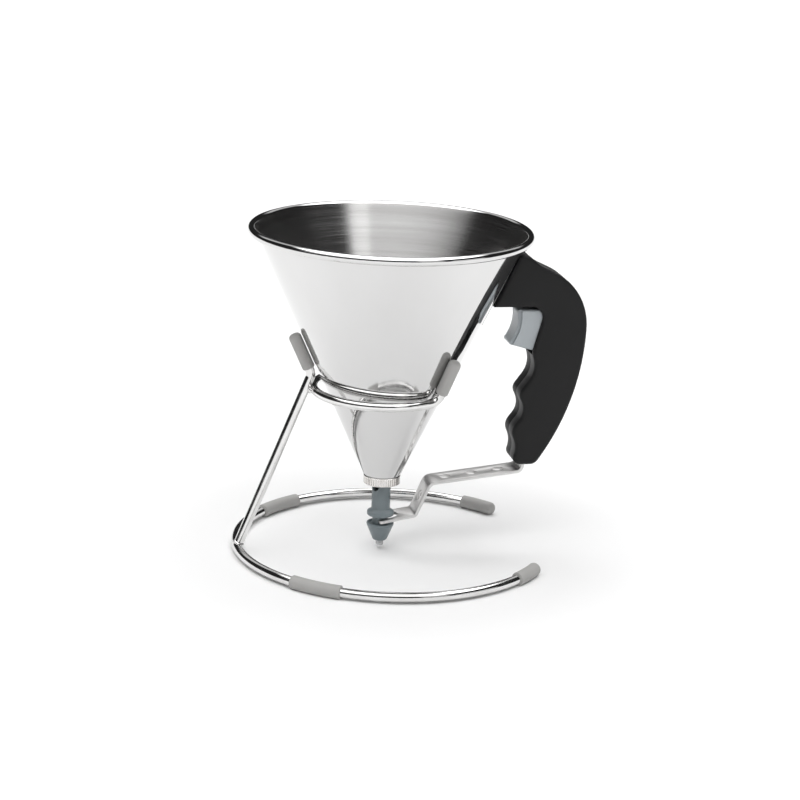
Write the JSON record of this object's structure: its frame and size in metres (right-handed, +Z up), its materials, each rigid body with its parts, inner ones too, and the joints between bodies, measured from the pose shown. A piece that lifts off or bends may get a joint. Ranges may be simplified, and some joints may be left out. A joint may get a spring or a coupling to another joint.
{
  "type": "pancake batter dispenser",
  "caption": "Steel batter funnel with a trigger handle that lifts a sliding valve tube at its outlet, resting in a wire stand with rubber sleeves.",
  "frame": {"origin": "centre of the footprint, on the table that the stand's rubber rests on", "axes": "+Z up along the funnel's axis, +X towards the handle, XZ is the plane that the handle, the lever and the leg lie in"},
  "size_m": [0.1807, 0.167, 0.1711],
  "materials": {
    "polished_steel": "mirror polished stainless sheet outside, brushed inside",
    "bright_wire": "bright drawn stainless wire",
    "satin_steel": "satin stainless strip and plate",
    "bright_nut": "bright nickel plate, straight knurl",
    "turned_steel": "turned stainless",
    "handle_black": "charcoal moulded plastic, fine satin texture",
    "trigger_grey": "light blue-grey moulded plastic, satin",
    "valve_grey": "blue-grey machined plastic, satin",
    "clear_tip": "translucent moulded plastic",
    "white_bush": "natural white bearing plastic",
    "seal_rubber": "soft black seal rubber",
    "grey_rubber": "mid-grey dipped rubber, matt",
    "screw_steel": "bright zinc-plated steel",
    "spring_steel": "drawn spring wire"
  },
  "bodies": {
    "stand": {"base_ring": "bright_wire", "base_cap_left": "grey_rubber", "base_cap_right": "grey_rubber", "base_sleeve_left": "grey_rubber", "base_sleeve_right": "grey_rubber", "leg": "bright_wire", "cradle_ring": "bright_wire", "prong_sleeve_back": "grey_rubber", "prong_sleeve_left": "grey_rubber", "prong_sleeve_right": "grey_rubber"},
    "funnel": {"funnel_cone": "polished_steel", "outlet_collar": "turned_steel", "guide_bush": "white_bush", "seal_ring": "seal_rubber", "handle_bracket": "satin_steel", "handle_shell_left": "handle_black", "handle_shell_right": "handle_black", "handle_screws": "screw_steel", "pivot_pin": "turned_steel", "return_spring": "spring_steel"},
    "nut": {"ring_nut": "bright_nut"},
    "lever": {"lever_strip": "satin_steel", "pivot_eye": "satin_steel", "trigger": "trigger_grey", "trigger_rivet": "turned_steel"},
    "valve": {"valve_tube": "valve_grey", "nozzle_cone": "valve_grey", "nozzle_tip": "clear_tip"}
  },
  "joints": [
    {"name": "funnel_lift", "type": "slide", "parent": "stand", "child": "funnel", "axis": [0, 0, 1], "range_m": [0, 0.13]},
    {"name": "trigger_pull", "type": "hinge", "parent": "funnel", "child": "lever", "pos_m": [0.06473, 0, 0.053], "axis": [0, 1, 0], "range_deg": [0, 6.5], "stiffness_Nm_per_rad": 4, "springref_deg": -1.72, "deforming": ["return_spring"]},
    {"name": "valve_slide", "type": "slide", "parent": "funnel", "child": "valve", "axis": [0, 0, 1], "range_m": [0, 0.0095]},
    {"name": "ring_nut_turn", "type": "hinge", "parent": "funnel", "child": "nut", "pos_m": [-0.01285, 0, 0.0385], "axis": [0, 0, 1], "continuous": true}
  ],
  "couplings": [
    {"joint": "valve_slide", "follows": "trigger_pull", "m_per_rad": 0.0792}
  ]
}
